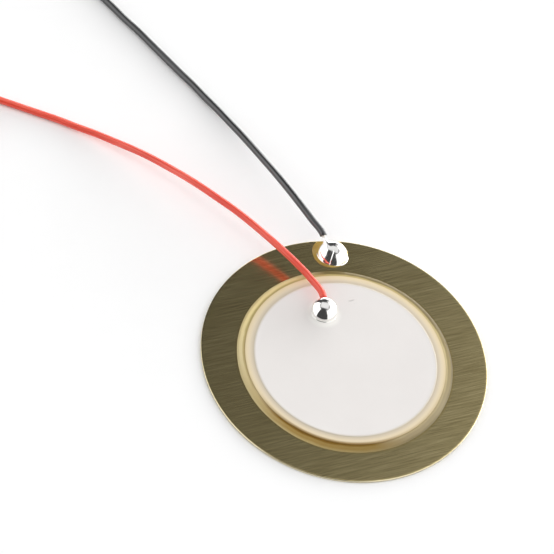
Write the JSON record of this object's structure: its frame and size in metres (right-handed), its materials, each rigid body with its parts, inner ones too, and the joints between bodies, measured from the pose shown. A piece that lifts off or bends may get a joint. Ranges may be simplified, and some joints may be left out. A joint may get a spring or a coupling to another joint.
{
  "type": "piezo disc",
  "caption": "Round piezo bender: ceramic disc with silver electrodes bonded to a brass plate, with a red and a black soldered lead.",
  "frame": {"origin": "centre of the brass plate's back face", "axes": "+Z out of the plate towards the ceramic; +Y from the centre through the ground solder joint at the rim"},
  "size_m": [0.0397, 0.05, 0.0021],
  "materials": {
    "brass": "cold-rolled sheet with fine parallel rolling streaks",
    "adhesive": "glossy, translucent amber epoxy",
    "ceramic": "matt cream piezo ceramic",
    "silver": "matt screen-printed and fired silver",
    "solder": "bright, smooth tin solder",
    "flux": "glossy amber rosin residue",
    "red_insulation": "smooth red PVC, slightly glossy",
    "black_insulation": "smooth black PVC, slightly glossy",
    "tinned_copper": "bright tinned strands"
  },
  "bodies": {
    "root": {"brass_plate": "brass", "bond_layer": "adhesive", "lower_electrode": "silver", "ceramic_disc": "ceramic", "upper_electrode": "silver", "signal_solder": "solder", "ground_solder": "solder", "ground_flux": "flux", "signal_lead": "red_insulation", "signal_lead_coil": "red_insulation", "signal_conductor": "tinned_copper", "signal_lead_tip": "tinned_copper", "ground_lead": "black_insulation", "ground_lead_coil": "black_insulation", "ground_conductor": "tinned_copper", "ground_lead_tip": "tinned_copper"}
  },
  "joints": []
}
